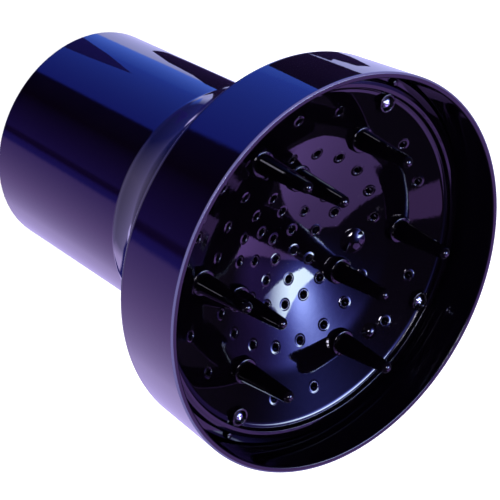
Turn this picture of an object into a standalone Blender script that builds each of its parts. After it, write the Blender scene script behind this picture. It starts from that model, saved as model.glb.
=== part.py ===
"""Universal finger diffuser for a hair dryer.

It stands upright on the rear end of its collar: Z runs up the axis towards the mouth of the bowl, and the
origin is the centre of the collar's rear rim.
"""
import math

import bmesh
import bpy
from mathutils import Matrix, Vector

MM = 0.001

# Driving dimensions, in millimetres and degrees
WALL = 2.4                      # moulded wall of the housing and the bowl
GAP = 0.3                       # clearance between neighbouring pieces
MERGE = 0.00005                 # metres

# collar and flare
COLLAR_REAR_R = 44.3
COLLAR_FRONT_R = 47.15
COLLAR_FRONT_Z = 77.4
COLLAR_EDGE = 0.5
COLLAR_BEVEL = (0.3, 1.0)       # small bevel at the collar's front end, radial and axial
FLARE_START_R = 48.3
FLARE_START_Z = 80.0
FLARE_END_R = 75.0
FLARE_END_Z = 119.2
FLARE_HOLLOW = 4.8              # how far the trumpet-like flare sinks below a straight cone
SPIGOT_R = 73.7
SPIGOT_WALL = 2.3
REBATE_R = 42.5
REBATE_DEPTH = 2.2

# bowl ring
BOWL_REAR_Z = 120.5
BOWL_REAR_R = 76.3
BOWL_REAR_ROUND = (1.5, 4.5)    # radial and axial size of the soft rear corner
LIP_Z = 155.5
LIP_R = 80.0
LIP_WALL = 2.6
LIP_EDGE = 0.4
SHELF_Z = 124.2
SHELF_T = 2.2
SHELF_HOLE_R = 61.0
LEDGE_Z = 135.7
LEDGE_IN_R = 74.0
LEDGE_OUT_R = 75.5
PILLAR_R = 4.2
PILLAR_TOP = 134.9
PILOT_R = 1.2
PILOT_DEPTH = 7.4

# perforated dish
DISH_BOTTOM_Z = 122.4
DISH_RISE = 18.4                # twice the height gained over the dished middle
DISH_SWEEP_R = 88.0             # twice the radius of the dished middle, whose section is part of a cosine
DISH_CONE_R = 64.0              # the middle runs on as a cone as far as this
DISH_EDGE_SLOPE = 0.08          # and then levels out towards the edge
DISH_T = 2.0
DISH_EDGE_R = 68.4
BEAD_R = 70.35
BEAD_HALF_W = 1.95
BEAD_H = 1.9
FLANGE_R = 75.2
FLANGE_TOP_Z = 138.0
HOLE_R = 1.1
HOLE_CHAMFER = 0.8
NUB = (3.4, 3.0, 3.2)           # radial, tangential and vertical size of a locating nub

# fingers: (count, radius of the ring, first azimuth)
OUTER_RING = (6, 48.8, 33.0)
INNER_RING = (3, 29.2, 63.0)
FINGER_LEN = 26.0
FINGER_ROOT_R = 4.0
FINGER_TIP_R = 2.4
FINGER_TIP_H = 1.7              # height of the tip's flattened dome
STEM_R = 1.8
BOSS_R = 5.4
BOSS_ABOVE = 1.8
BOSS_BELOW = 3.4
BOSS_EDGE = 0.5
STAKE_R = 3.0
STAKE_T = 1.2
STAKE_EDGE = (0.6, 0.4)
FINGER_FOOT = 0.8               # straight foot of a finger on its boss

# perforations: (count, radius of the ring, first azimuth)
HOLE_RINGS = ((4, 6.5, 0.0), (8, 15.0, 0.0), (16, 24.0, 12.0), (20, 39.0, 6.0))
EDGE_HOLE_R = 57.5              # a pair of holes beside each outer finger
EDGE_HOLE_SPREAD = 20.0
DOMES = ((31.0, -153.0, 5.4, 2.6), (54.6, 166.0, 3.4, 1.5))     # radius, azimuth, half width, height

# screws
SCREWS = (4, 65.2, 5.5)
SEAT_BOTTOM = 135.2
SEAT_EDGE = 0.3
CUP_R = 3.9
CUP_RECESS_R = 2.9
CUP_H = 1.8
HEAD_R = 2.1
HEAD_H = 1.5
HEAD_SIDE = 0.6                 # straight side of the head below its crown
SHANK_R = 0.9
SHANK_LEN = 9.6
SHANK_HOLE_R = 1.3
SHANK_POINT = 0.8
SLOT_HALF = 1.25                # half length and half width of one arm of the cross recess
SLOT_HALF_W = 0.36
SLOT_DEPTH = 0.85
SCREW_TURN = 17.0               # each screw stopped a little further round than the last

# grip inside the collar
GRIP_TABS = 8
GRIP_IN_R = 36.9
GRIP_OUT_R = 41.5
GRIP_FLANGE_R = 42.2
GRIP_FLANGE_TOP = 1.9
GRIP_TOP = 9.5
PIVOT_R = 39.0
PIVOT_Z = 6.0
TAB_LEAN = 32.0                 # lean of a relaxed tab towards the axis
TAB_LEN = 30.0
TAB_T = 1.6
TAB_ROOT_W = 14.4
TAB_TIP_W = 12.6
TAB_CORNER = 2.5
RIB_R = 0.9
RIB_HALF = 4.6
RIB_PLACES = (15.0, 20.0, 25.0)
HINGE_R = 1.3
HINGE_HALF = 7.5
PIN_R = 0.65
PIN_HALF = 9.0
NOTCH_HALF = 7.9
NOTCH_FLOOR = 3.6

SHELL_STEPS = 40
BOSS_STEPS = 16
SMALL_STEPS = 12
HOLE_STEPS = 8
FLARE_POINTS = 8


# ---------------------------------------------------------------- helpers

def collection(name):
    coll = bpy.data.collections.new(name)
    bpy.context.scene.collection.children.link(coll)
    return coll


def material(name, colour, roughness, metallic=0.0):
    mat = bpy.data.materials.new(name)
    mat.use_nodes = True
    shader = mat.node_tree.nodes["Principled BSDF"]
    shader.inputs["Base Color"].default_value = (*colour, 1.0)
    shader.inputs["Roughness"].default_value = roughness
    shader.inputs["Metallic"].default_value = metallic
    return mat


def polar(radius, degrees, height=0.0):
    angle = math.radians(degrees)
    return Vector((radius * math.cos(angle), radius * math.sin(angle), height)) * MM


def ring_places(ring):
    """Azimuth and radius of each place on a ring of (count, radius, first azimuth)."""
    count, radius, first = ring
    return [(first + 360.0 * i / count, radius) for i in range(count)]


def arc(centre_r, centre_z, radius_r, radius_z, start, end, points):
    """Points of an elliptical arc in the (r, z) plane, angles in degrees from +r."""
    angles = [math.radians(start + (end - start) * i / (points - 1)) for i in range(points)]
    return [(centre_r + radius_r * math.cos(a), centre_z + radius_z * math.sin(a)) for a in angles]


def profile_mesh(name, profile, closed):
    mesh = bpy.data.meshes.new(name)
    verts = [(r * MM, 0.0, z * MM) for r, z in profile]
    edges = [(i, i + 1) for i in range(len(verts) - 1)]
    if closed:
        edges.append((len(verts) - 1, 0))
    mesh.from_pydata(verts, edges, [])
    return mesh


def turned(name, profile, steps, coll, closed=False):
    """A profile, run from top to bottom down its outer side, turned about Z."""
    obj = bpy.data.objects.new(name, profile_mesh(name, profile, closed))
    coll.objects.link(obj)
    screw = obj.modifiers.new("Turn", "SCREW")
    screw.axis = "Z"
    screw.angle = math.tau
    screw.steps = steps
    screw.render_steps = steps
    screw.use_merge_vertices = True
    screw.merge_threshold = MERGE
    screw.use_smooth_shade = True
    return obj


def evaluated_mesh(obj):
    """The mesh of an object with its modifiers applied; the object is removed."""
    depsgraph = bpy.context.evaluated_depsgraph_get()
    mesh = bpy.data.meshes.new_from_object(obj.evaluated_get(depsgraph))
    bpy.data.objects.remove(obj)
    return mesh


def scattered(name, placed_meshes, coll):
    """One object holding a copy of each mesh at its matrix."""
    bm = bmesh.new()
    for mesh, matrix in placed_meshes:
        before = len(bm.verts)
        bm.from_mesh(mesh)
        bm.verts.ensure_lookup_table()
        bmesh.ops.transform(bm, matrix=matrix, verts=bm.verts[before:])
    mesh = bpy.data.meshes.new(name)
    bm.to_mesh(mesh)
    bm.free()
    obj = bpy.data.objects.new(name, mesh)
    coll.objects.link(obj)
    return obj


def box_mesh(name, low, high):
    """A box between two corners in millimetres."""
    bm = bmesh.new()
    bmesh.ops.create_cube(bm, size=1.0)
    low = Vector(low) * MM
    high = Vector(high) * MM
    size = high - low
    bmesh.ops.scale(bm, vec=size, verts=bm.verts)
    bmesh.ops.translate(bm, vec=(low + high) / 2, verts=bm.verts)
    mesh = bpy.data.meshes.new(name)
    bm.to_mesh(mesh)
    bm.free()
    return mesh


def rod_mesh(name, radius, half_length, segments):
    """A rod along Y, centred on the origin."""
    bm = bmesh.new()
    bmesh.ops.create_cone(bm, cap_ends=True, segments=segments, radius1=radius * MM,
                          radius2=radius * MM, depth=2 * half_length * MM,
                          matrix=Matrix.Rotation(math.radians(90), 4, "X"))
    mesh = bpy.data.meshes.new(name)
    bm.to_mesh(mesh)
    bm.free()
    return mesh


def combine(obj, other, operation):
    """Cut or join obj with another object, which becomes a hidden guide."""
    other.hide_render = True
    other.display_type = "WIRE"
    modifier = obj.modifiers.new(operation.title(), "BOOLEAN")
    modifier.operation = operation
    modifier.solver = "EXACT"
    modifier.object = other


def finish(obj, mat, sharp=35.0):
    obj.data.materials.clear()
    obj.data.materials.append(mat)
    if obj.data.polygons:
        obj.data.shade_smooth()
        obj.data.set_sharp_from_angle(angle=math.radians(sharp))


def dish_top(radius):
    """Height of the dish's upper face: a dished middle, then a cone, then a narrow edge that levels out."""
    middle = min(radius, DISH_SWEEP_R / 2)
    height = DISH_BOTTOM_Z + DISH_RISE * 0.5 * (1.0 - math.cos(math.pi * middle / DISH_SWEEP_R))
    cone_slope = DISH_RISE * 0.5 * math.pi / DISH_SWEEP_R
    levelling = max(radius - DISH_CONE_R, 0.0)
    bend = (cone_slope - DISH_EDGE_SLOPE) / (DISH_EDGE_R - DISH_CONE_R)
    return height + cone_slope * (radius - middle) - bend * levelling ** 2 / 2


def place(degrees, radius, height):
    return Matrix.Translation(polar(radius, degrees, height)) @ Matrix.Rotation(math.radians(degrees), 4, "Z")


# ---------------------------------------------------------------- housing and bowl

def flare_line(offset):
    """The flare's section from its front end down, moved inwards by offset."""
    run = Vector((FLARE_END_R - FLARE_START_R, FLARE_END_Z - FLARE_START_Z))
    inward = Vector((-run.y, run.x)).normalized()
    points = []
    for i in range(FLARE_POINTS):
        t = 1.0 - i / (FLARE_POINTS - 1)
        sink = offset + FLARE_HOLLOW * 4.0 * t * (1.0 - t)
        point = Vector((FLARE_START_R, FLARE_START_Z)) + run * t + inward * sink
        points.append((point.x, point.y))
    return points


def build_rear_housing(coll, mat):
    spigot_top = SHELF_Z - GAP
    spigot_in = SPIGOT_R - SPIGOT_WALL
    seam_z = BOWL_REAR_Z - GAP
    outer = [(SPIGOT_R, spigot_top), (SPIGOT_R, seam_z), (FLARE_END_R, seam_z)]
    outer += flare_line(0.0)
    outer += [(COLLAR_FRONT_R + COLLAR_BEVEL[0], COLLAR_FRONT_Z + COLLAR_BEVEL[1]),
              (COLLAR_FRONT_R, COLLAR_FRONT_Z),
              (COLLAR_REAR_R, COLLAR_EDGE), (COLLAR_REAR_R - COLLAR_EDGE, 0.0)]
    inner_rear = COLLAR_REAR_R - WALL
    inner = [(REBATE_R, 0.0), (REBATE_R, REBATE_DEPTH), (inner_rear, REBATE_DEPTH),
             (COLLAR_FRONT_R - WALL, COLLAR_FRONT_Z + COLLAR_BEVEL[1])]
    inner += [p for p in reversed(flare_line(WALL)) if p[0] < spigot_in - 1.0]
    inner += [(spigot_in, seam_z - WALL), (spigot_in, spigot_top)]
    obj = turned("rear_housing", outer + inner, SHELL_STEPS, coll, closed=True)
    finish(obj, mat)


def bowl_outer_r(height):
    t = (height - BOWL_REAR_Z) / (LIP_Z - BOWL_REAR_Z)
    return BOWL_REAR_R + (LIP_R - BOWL_REAR_R) * t


def build_bowl_ring(coll, guides, mat):
    round_r, round_h = BOWL_REAR_ROUND
    round_z = BOWL_REAR_Z + round_h
    corner_r = bowl_outer_r(round_z) - round_r
    inner_low = SPIGOT_R + GAP
    profile = [(LIP_R - LIP_EDGE, LIP_Z), (LIP_R, LIP_Z - LIP_EDGE)]
    profile += arc(corner_r, round_z, round_r, round_h, 0, -90, 5)
    profile += [(inner_low, BOWL_REAR_Z), (inner_low, SHELF_Z), (SHELF_HOLE_R, SHELF_Z),
                (SHELF_HOLE_R, SHELF_Z + SHELF_T), (inner_low - GAP, SHELF_Z + SHELF_T),
                (LEDGE_IN_R, LEDGE_Z), (LEDGE_OUT_R, LEDGE_Z),
                (LIP_R - LIP_WALL, LIP_Z - LIP_EDGE), (LIP_R - LIP_WALL + LIP_EDGE, LIP_Z)]
    obj = turned("bowl_ring", profile, SHELL_STEPS, coll, closed=True)
    pillar_low = SHELF_Z + SHELF_T / 2
    pillar = evaluated_mesh(turned("pillar", [(0, PILLAR_TOP), (PILLAR_R, PILLAR_TOP), (PILLAR_R, pillar_low),
                                              (0, pillar_low)], SMALL_STEPS, guides))
    pilot_low = PILLAR_TOP - PILOT_DEPTH
    pilot = evaluated_mesh(turned("pilot", [(0, PILLAR_TOP + 1), (PILOT_R, PILLAR_TOP + 1),
                                            (PILOT_R, pilot_low), (0, pilot_low)], HOLE_STEPS, guides))
    spots = [place(az, radius, 0.0) for az, radius in ring_places(SCREWS)]
    combine(obj, scattered("bowl_pillars", [(pillar, m) for m in spots], guides), "UNION")
    combine(obj, scattered("bowl_pilot_holes", [(pilot, m) for m in spots], guides), "DIFFERENCE")
    finish(obj, mat)


# ---------------------------------------------------------------- dish

def finger_places():
    return ring_places(OUTER_RING) + ring_places(INNER_RING)


def clear_of_fingers(degrees, radius):
    spot = polar(radius, degrees)
    room = (BOSS_R + HOLE_R + HOLE_CHAMFER + GAP) * MM
    return all((spot - polar(r, az)).length > room for az, r in finger_places())


def hole_places():
    places = []
    for ring in HOLE_RINGS:
        places += [(az, r) for az, r in ring_places(ring) if clear_of_fingers(az, r)]
    for az, _ in ring_places(OUTER_RING):
        places += [(az - EDGE_HOLE_SPREAD, EDGE_HOLE_R), (az + EDGE_HOLE_SPREAD, EDGE_HOLE_R)]
    return places


def dish_profile():
    radii = [DISH_CONE_R * i / 8 for i in range(9)] + [(DISH_CONE_R + DISH_EDGE_R) / 2, DISH_EDGE_R]
    top = [(r, dish_top(r)) for r in radii]
    bead = arc(BEAD_R, dish_top(DISH_EDGE_R), BEAD_HALF_W, BEAD_H, 145, 25, 4)
    flange = [(BEAD_R + BEAD_HALF_W, FLANGE_TOP_Z), (FLANGE_R, FLANGE_TOP_Z), (FLANGE_R, LEDGE_Z + GAP),
              (DISH_EDGE_R, LEDGE_Z + GAP)]
    under = [(r, dish_top(r) - DISH_T) for r in reversed(radii[:-1])]
    return top + bead + flange + under


def boss_mesh(guides):
    profile = [(0, BOSS_ABOVE), (BOSS_R - BOSS_EDGE, BOSS_ABOVE), (BOSS_R, BOSS_ABOVE - BOSS_EDGE),
               (BOSS_R, -BOSS_BELOW), (0, -BOSS_BELOW)]
    return evaluated_mesh(turned("boss", profile, BOSS_STEPS, guides))


def dome_mesh(half_width, height, guides):
    profile = arc(0, 0, half_width, height, 90, 0, 5) + [(half_width, -DISH_T), (0, -DISH_T)]
    return evaluated_mesh(turned("dome", profile, SMALL_STEPS, guides))


def dish_additions(guides):
    boss = boss_mesh(guides)
    parts = [(boss, place(az, r, dish_top(r))) for az, r in finger_places()]
    seat_top = dish_top(SCREWS[1]) + CUP_H
    profile = [(0, seat_top), (CUP_R - SEAT_EDGE, seat_top), (CUP_R, seat_top - SEAT_EDGE),
               (CUP_R, SEAT_BOTTOM), (0, SEAT_BOTTOM)]
    seat = evaluated_mesh(turned("seat", profile, BOSS_STEPS, guides))
    nub_in = FLANGE_R - NUB[0]
    nub_low = FLANGE_TOP_Z - 1.0
    nub = box_mesh("nub", (nub_in, -NUB[1] / 2, nub_low), (FLANGE_R - 0.2, NUB[1] / 2, nub_low + NUB[2]))
    for az, radius in ring_places(SCREWS):
        parts.append((seat, place(az, radius, 0.0)))
        parts.append((nub, place(az, 0.0, 0.0)))
    for radius, az, half_width, height in DOMES:
        spot = place(az, radius, dish_top(radius) - height * 0.15)
        parts.append((dome_mesh(half_width, height, guides), spot))
    return scattered("dish_bosses", parts, guides)


def dish_cuts(guides):
    reach = 4.0
    mouth = HOLE_R + HOLE_CHAMFER
    profile = [(0, reach), (mouth + reach, reach), (mouth, 0), (HOLE_R, -HOLE_CHAMFER), (HOLE_R, -reach),
               (0, -reach)]
    hole = evaluated_mesh(turned("hole", profile, HOLE_STEPS, guides))
    parts = [(hole, place(az, r, dish_top(r))) for az, r in hole_places()]
    stem_hole_r = STEM_R + GAP
    stem = evaluated_mesh(turned("stem_hole", [(0, reach), (stem_hole_r, reach), (stem_hole_r, -2 * reach),
                                               (0, -2 * reach)], HOLE_STEPS + 2, guides))
    parts += [(stem, place(az, r, dish_top(r))) for az, r in finger_places()]
    floor_z = dish_top(SCREWS[1])
    profile = [(0, floor_z + reach), (CUP_RECESS_R, floor_z + reach), (CUP_RECESS_R, floor_z),
               (SHANK_HOLE_R, floor_z), (SHANK_HOLE_R, SEAT_BOTTOM - 1), (0, SEAT_BOTTOM - 1)]
    recess = evaluated_mesh(turned("recess", profile, SMALL_STEPS, guides))
    parts += [(recess, place(az, r, 0.0)) for az, r in ring_places(SCREWS)]
    return scattered("dish_holes", parts, guides)


def build_dish(coll, guides, mat):
    obj = turned("finger_dish", dish_profile(), SHELL_STEPS, coll)
    combine(obj, dish_additions(guides), "UNION")
    combine(obj, dish_cuts(guides), "DIFFERENCE")
    finish(obj, mat)


# ---------------------------------------------------------------- fingers and screws

def build_fingers(coll, mat):
    tip_centre = FINGER_LEN - FINGER_TIP_H
    stake_top = -(BOSS_ABOVE + BOSS_BELOW) - 2 * GAP
    profile = arc(0, tip_centre, FINGER_TIP_R, FINGER_TIP_H, 90, 0, 5)
    stake_low = stake_top - STAKE_T
    profile += [(FINGER_ROOT_R, FINGER_FOOT), (FINGER_ROOT_R, 0), (STEM_R, 0), (STEM_R, stake_top),
                (STAKE_R, stake_top), (STAKE_R, stake_low + STAKE_EDGE[1]),
                (STAKE_R - STAKE_EDGE[0], stake_low), (0, stake_low)]
    mesh = evaluated_mesh(turned("finger", profile, SMALL_STEPS, coll))
    for ring, label in ((OUTER_RING, "outer"), (INNER_RING, "inner")):
        for i, (az, radius) in enumerate(ring_places(ring)):
            obj = bpy.data.objects.new(f"finger_{label}_{i + 1}", mesh)
            coll.objects.link(obj)
            obj.location = polar(radius, az, dish_top(radius) + BOSS_ABOVE + GAP)
            obj.rotation_euler.z = math.radians(az)
            finish(obj, mat)


def build_screws(coll, guides, mat):
    profile = arc(0, HEAD_SIDE, HEAD_R, HEAD_H - HEAD_SIDE, 90, 0, 4)
    profile += [(HEAD_R, 0), (SHANK_R, 0), (SHANK_R, -SHANK_LEN), (0, -SHANK_LEN - SHANK_POINT)]
    template = turned("screw", profile, SMALL_STEPS, coll)
    floor_z = HEAD_H - SLOT_DEPTH
    for name, half_x, half_y in (("slot_x", SLOT_HALF, SLOT_HALF_W), ("slot_y", SLOT_HALF_W, SLOT_HALF)):
        arm = box_mesh(name, (-half_x, -half_y, floor_z), (half_x, half_y, HEAD_H + 1))
        slot = bpy.data.objects.new(name, arm)
        guides.objects.link(slot)
        combine(template, slot, "DIFFERENCE")
    mesh = evaluated_mesh(template)
    for i, (az, radius) in enumerate(ring_places(SCREWS)):
        obj = bpy.data.objects.new(f"dish_screw_{i + 1}", mesh)
        coll.objects.link(obj)
        obj.location = polar(radius, az, dish_top(radius) + GAP)
        obj.rotation_euler.z = math.radians(az + SCREW_TURN * i)
        finish(obj, mat)


# ---------------------------------------------------------------- grip

def tab_azimuths():
    return [360.0 * i / GRIP_TABS for i in range(GRIP_TABS)]


def build_grip_ring(coll, guides, mat):
    profile = [(GRIP_OUT_R - 0.5, GRIP_TOP), (GRIP_OUT_R, GRIP_TOP - 0.5), (GRIP_OUT_R, GRIP_FLANGE_TOP),
               (GRIP_FLANGE_R, GRIP_FLANGE_TOP), (GRIP_FLANGE_R, GAP), (GRIP_IN_R, GAP), (GRIP_IN_R, GRIP_TOP)]
    obj = turned("grip_ring", profile, SHELL_STEPS, coll, closed=True)
    notch = box_mesh("notch", (GRIP_IN_R - 3, -NOTCH_HALF, NOTCH_FLOOR),
                     (GRIP_OUT_R + 1, NOTCH_HALF, GRIP_TOP + 1))
    socket = rod_mesh("socket", PIN_R + GAP + 0.05, PIN_HALF + GAP, HOLE_STEPS)
    turns = [Matrix.Rotation(math.radians(az), 4, "Z") for az in tab_azimuths()]
    combine(obj, scattered("grip_notches", [(notch, m) for m in turns], guides), "DIFFERENCE")
    pivots = [(socket, place(az, PIVOT_R, PIVOT_Z)) for az in tab_azimuths()]
    combine(obj, scattered("grip_sockets", pivots, guides), "DIFFERENCE")
    finish(obj, mat)


def tab_plate_mesh(coll):
    """A tongue that tapers from its root to a rounded tip, as an extruded outline."""
    curve = bpy.data.curves.new("tab_plate", "CURVE")
    curve.dimensions = "2D"
    curve.fill_mode = "BOTH"
    curve.extrude = TAB_T / 2 * MM
    spline = curve.splines.new("POLY")
    tip, root = TAB_TIP_W / 2, TAB_ROOT_W / 2
    right = arc(tip - TAB_CORNER, TAB_LEN - TAB_CORNER, TAB_CORNER, TAB_CORNER, 0, 90, 4)
    left = [(-x, y) for x, y in reversed(right)]
    outline = [(-root, 0.0), (root, 0.0)] + right + left
    spline.points.add(len(outline) - 1)
    for point, (x, y) in zip(spline.points, outline):
        point.co = (x * MM, y * MM, 0.0, 1.0)
    spline.use_cyclic_u = True
    obj = bpy.data.objects.new("tab_plate", curve)
    coll.objects.link(obj)
    mesh = evaluated_mesh(obj)
    bm = bmesh.new()
    bm.from_mesh(mesh)
    bmesh.ops.remove_doubles(bm, verts=bm.verts, dist=MERGE)
    turn = Matrix(((0, 0, 1, 0), (1, 0, 0, 0), (0, 1, 0, 0), (0, 0, 0, 1)))
    bmesh.ops.transform(bm, matrix=turn, verts=bm.verts)
    bm.to_mesh(mesh)
    bm.free()
    return mesh


def build_grip_tabs(coll, guides, mat):
    template = bpy.data.objects.new("tab", tab_plate_mesh(guides))
    coll.objects.link(template)
    pieces = {"tab_hinge": rod_mesh("tab_hinge", HINGE_R, HINGE_HALF, HOLE_STEPS),
              "tab_pin": rod_mesh("tab_pin", PIN_R, PIN_HALF, HOLE_STEPS)}
    for name, mesh in pieces.items():
        combine(template, scattered(name, [(mesh, Matrix.Identity(4))], guides), "UNION")
    rib = rod_mesh("tab_rib", RIB_R, RIB_HALF, HOLE_STEPS - 2)
    ribs = [(rib, Matrix.Translation(Vector((-TAB_T / 2, 0, z)) * MM)) for z in RIB_PLACES]
    combine(template, scattered("tab_ribs", ribs, guides), "UNION")
    mesh = evaluated_mesh(template)
    for i, az in enumerate(tab_azimuths()):
        obj = bpy.data.objects.new(f"grip_tab_{i + 1}", mesh)
        coll.objects.link(obj)
        obj.location = polar(PIVOT_R, az, PIVOT_Z)
        obj.rotation_euler = (0.0, math.radians(-TAB_LEAN), math.radians(az))
        finish(obj, mat)


def main():
    for obj in list(bpy.data.objects):
        bpy.data.objects.remove(obj)
    parts = collection("dryer_diffuser")
    guides = collection("cutters")
    shell = (0.006, 0.006, 0.014)
    build_rear_housing(parts, material("housing_gloss_black", shell, 0.08))
    build_bowl_ring(parts, guides, material("bowl_gloss_black", shell, 0.08))
    build_dish(parts, guides, material("dish_gloss_black", (0.007, 0.006, 0.012), 0.1))
    build_fingers(parts, material("finger_gloss_black", (0.006, 0.006, 0.01), 0.12))
    build_screws(parts, guides, material("screw_bright_steel", (0.75, 0.75, 0.78), 0.15, 1.0))
    build_grip_ring(parts, guides, material("grip_ring_black", (0.012, 0.012, 0.014), 0.4))
    build_grip_tabs(parts, guides, material("grip_tab_soft_black", (0.02, 0.02, 0.022), 0.6))


main()
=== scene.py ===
"""Looks of the dryer diffuser: smooth glossy mouldings, plated screws, and the studio around them.

Sizes are millimetres and degrees unless a name says otherwise. Heights are along the diffuser's axis.
"""
import math

import bmesh
import bpy
from mathutils import Matrix, Vector


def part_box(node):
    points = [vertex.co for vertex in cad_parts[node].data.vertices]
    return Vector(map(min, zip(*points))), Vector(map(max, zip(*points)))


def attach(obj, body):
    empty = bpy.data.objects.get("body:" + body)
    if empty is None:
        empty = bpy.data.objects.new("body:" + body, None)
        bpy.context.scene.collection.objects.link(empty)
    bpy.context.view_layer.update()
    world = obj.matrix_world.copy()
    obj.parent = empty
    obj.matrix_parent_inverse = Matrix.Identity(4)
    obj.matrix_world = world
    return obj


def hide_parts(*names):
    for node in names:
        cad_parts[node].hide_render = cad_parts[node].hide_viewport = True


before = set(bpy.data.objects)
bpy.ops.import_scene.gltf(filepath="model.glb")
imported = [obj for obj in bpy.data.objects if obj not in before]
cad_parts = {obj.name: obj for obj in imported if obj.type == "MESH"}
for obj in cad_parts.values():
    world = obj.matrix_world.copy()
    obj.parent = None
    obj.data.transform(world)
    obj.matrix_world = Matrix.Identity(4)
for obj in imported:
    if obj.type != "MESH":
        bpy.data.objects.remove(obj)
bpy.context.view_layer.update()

MM = 0.001
BODY = "diffuser"

# ---------------------------------------------------------------- driving sizes, from the frame


def box_mm(node):
    low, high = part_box(node)
    return low / MM, high / MM


HOUSING = box_mm("rear_housing")
BOWL = box_mm("bowl_ring")
DISH = box_mm("finger_dish")

WALL = 2.4
GAP = 0.3

# bowl: its lip and rear edge, and the shelf, ledge and pillars inside
LIP_Z = BOWL[1].z
LIP_R = BOWL[1].x
LIP_WALL = 2.6
LIP_ROUND = 0.7
# painted highlight on the lip's outer edge: the depths under the lip's top and in from its rim over which it
# fades in
LIP_HIGHLIGHT_DOWN = (0.8, 0.4)
LIP_HIGHLIGHT_IN = (0.9, 0.6)
BOWL_TAPER = 3.7
BOWL_REAR_Z = BOWL[0].z
BOWL_REAR_R = LIP_R - BOWL_TAPER
BOWL_REAR_SWELL = 0.5
BOWL_REAR_ROUND = (1.0, 2.4)
SPIGOT_TOP = HOUSING[1].z
SHELF_Z = SPIGOT_TOP + GAP
SHELF_T = 2.2
SHELF_HOLE_R = 61.0
LEDGE_RISE = 11.5
LEDGE_W = 1.5
LEDGE_Z = SHELF_Z + LEDGE_RISE
PILLAR_R = 4.2
PILLAR_SHORT = 0.8
PILOT_R = 1.2
PILOT_DEPTH = 7.4

# housing: collar, flare and spigot, with (radius, height) where two numbers stand together
COLLAR_REAR_R = 44.3
COLLAR_FRONT = (47.15, 77.4)
FLARE_START = (48.3, 80.0)
FLARE_END = (75.0, 119.2)
FLARE_HOLLOW = 4.8
NECK_STEP = (0.3, 1.2)
NECK_IN_RISE = 0.8
SPIGOT_R = 73.7
SPIGOT_WALL = 2.3
REBATE = (42.5, 2.2)

# dish: a dished middle as far as half the sweep, a cone, and a narrow edge that levels out
DISH_BOTTOM_Z = 122.4
DISH_RISE = 18.4
DISH_SWEEP_R = 88.0
DISH_CONE_R = 64.0
DISH_EDGE_R = 68.4
DISH_EDGE_SLOPE = 0.08
DISH_T = 2.0
FLANGE_R = DISH[1].x
FLANGE_TOP = 138.0

# the dish's gloss: it leans in more by an angle in radians, which grows between the two radii of SUNK and
# goes again between the two distances of LEVELLING from the edge
SHEEN_SINK = 0.1
SUNK = (45.0, 51.0)
LEVELLING = (2.6, 0.4)
DISH_SHARP_ANGLE = 32.0

# details of the dish
BEAD_R = 70.35
BEAD_HALF_W = 1.95
BEAD_H = 1.9
HOLE_R = 1.1
HOLE_ROUND = 0.55
RIM_R = 2.9
RIM_H = 0.14
BOSS_R = 5.4
BOSS_ABOVE = 1.8
BOSS_BELOW = 3.4
STEM_HOLE_R = 2.1
CUP_R = 3.9
CUP_RECESS_R = 2.9
CUP_H = 1.8
CUP_HOLE_R = 1.3
NUB_R = 1.5
NUB_BELOW = 1.3
NUB_INSET = 0.35

# perforations: (count, radius of the ring, first azimuth), and the pair beside each outer finger
HOLE_RINGS = ((4, 6.5, 0.0), (8, 15.0, 0.0), (16, 24.0, 12.0), (20, 39.0, 6.0))
EDGE_HOLE_R = 57.5
EDGE_HOLE_SPREAD = 20.0

# low domes: (radius, azimuth, half width, height)
DOMES = ((31.0, -153.0, 5.4, 1.2), (54.6, 166.0, 3.4, 1.2))

FINE_STEPS = 192
MEDIUM_STEPS = 48
SMALL_STEPS = 32

FINGERS = sorted(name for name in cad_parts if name.startswith("finger_") and name != "finger_dish")
SCREWS = sorted(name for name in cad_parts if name.startswith("dish_screw_"))
TABS = sorted(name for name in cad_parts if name.startswith("grip_tab_"))


# ---------------------------------------------------------------- shapes

def arc(centre, radius_r, radius_z, start, end, points):
    """Points of an elliptical arc in the (r, z) plane, angles in degrees from +r."""
    angles = [math.radians(start + (end - start) * i / (points - 1)) for i in range(points)]
    return [(centre[0] + radius_r * math.cos(a), centre[1] + radius_z * math.sin(a)) for a in angles]


def rounded(outline, points=6):
    """A closed outline of (r, z) or (r, z, corner radius), with each given corner turned into an arc."""
    result = []
    count = len(outline)
    for i, corner in enumerate(outline):
        here = Vector(corner[:2])
        if len(corner) < 3:
            result.append(tuple(here))
            continue
        back = Vector(outline[i - 1][:2]) - here
        ahead = Vector(outline[(i + 1) % count][:2]) - here
        to_back = back.normalized()
        to_ahead = ahead.normalized()
        half = to_back.angle(to_ahead) / 2
        reach = min(corner[2] / math.tan(half), 0.48 * back.length, 0.48 * ahead.length)
        centre = here + (to_back + to_ahead).normalized() * reach / math.cos(half)
        first = here + to_back * reach - centre
        last = here + to_ahead * reach - centre
        start = math.atan2(first.y, first.x)
        sweep = (math.atan2(last.y, last.x) - start + math.pi) % math.tau - math.pi
        for k in range(points):
            angle = start + sweep * k / (points - 1)
            r = centre.x + first.length * math.cos(angle)
            z = centre.y + first.length * math.sin(angle)
            result.append((r, z))
    return result


def outline_normals(outline):
    """A normal at each point of a closed outline, in which the longer of the two sides counts for more."""
    normals = []
    for i, point in enumerate(outline):
        before = Vector(point) - Vector(outline[i - 1])
        after = Vector(outline[(i + 1) % len(outline)]) - Vector(point)
        total = before * before.length ** 2 + after * after.length ** 2
        normals.append(Vector((-total.y, total.x)).normalized())
    return normals


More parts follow.
